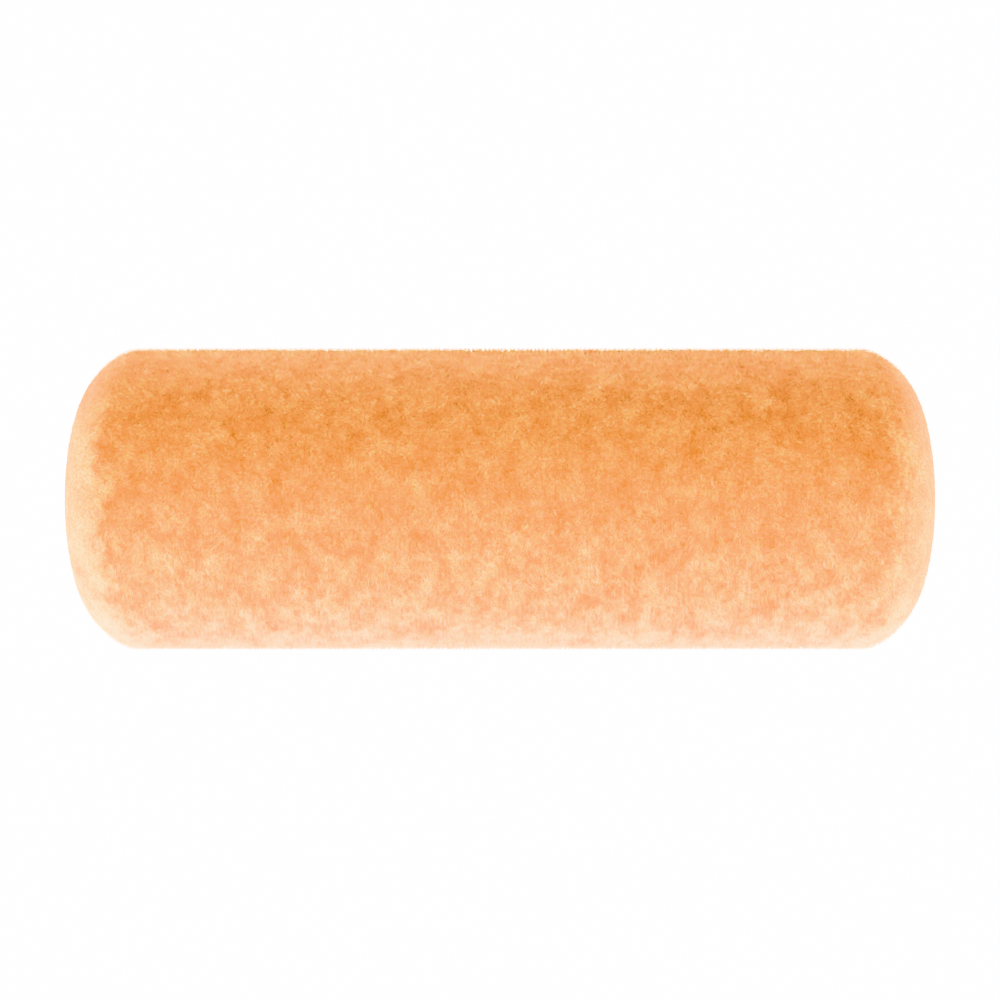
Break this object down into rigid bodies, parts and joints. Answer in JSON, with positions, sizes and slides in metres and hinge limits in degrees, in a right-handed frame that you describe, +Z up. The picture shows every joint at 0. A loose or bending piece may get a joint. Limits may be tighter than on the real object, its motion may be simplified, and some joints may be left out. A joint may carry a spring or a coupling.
{
  "type": "paint roller cover",
  "caption": "Napped sleeve for a paint roller: a knitted pile fabric bonded round a wound plastic core, open at both ends to slide on a roller frame's cage.",
  "frame": {"origin": "centre of the bore at mid-length", "axes": "+X along the bore's axis, +Z up; the cover is the same from either end"},
  "size_m": [0.1778, 0.065, 0.065],
  "materials": {
    "polypropylene": "translucent off-white extruded polypropylene strip, satin",
    "polypropylene_bond": "melted polypropylene film, slightly yellower than the strips",
    "back_coating": "thin latex back coating, matte",
    "knit": "knitted polyester base in the pile's orange",
    "nap": "dense sheared polyester pile, soft orange with paler tips"
  },
  "bodies": {
    "root": {"core_inner_strip": "polypropylene", "inner_ply_bond": "polypropylene_bond", "core_middle_strip": "polypropylene", "outer_ply_bond": "polypropylene_bond", "core_outer_strip": "polypropylene", "cover_bond": "polypropylene_bond", "fabric_back_coating": "back_coating", "fabric_knit_base": "knit", "nap_pile": "nap"}
  },
  "joints": []
}
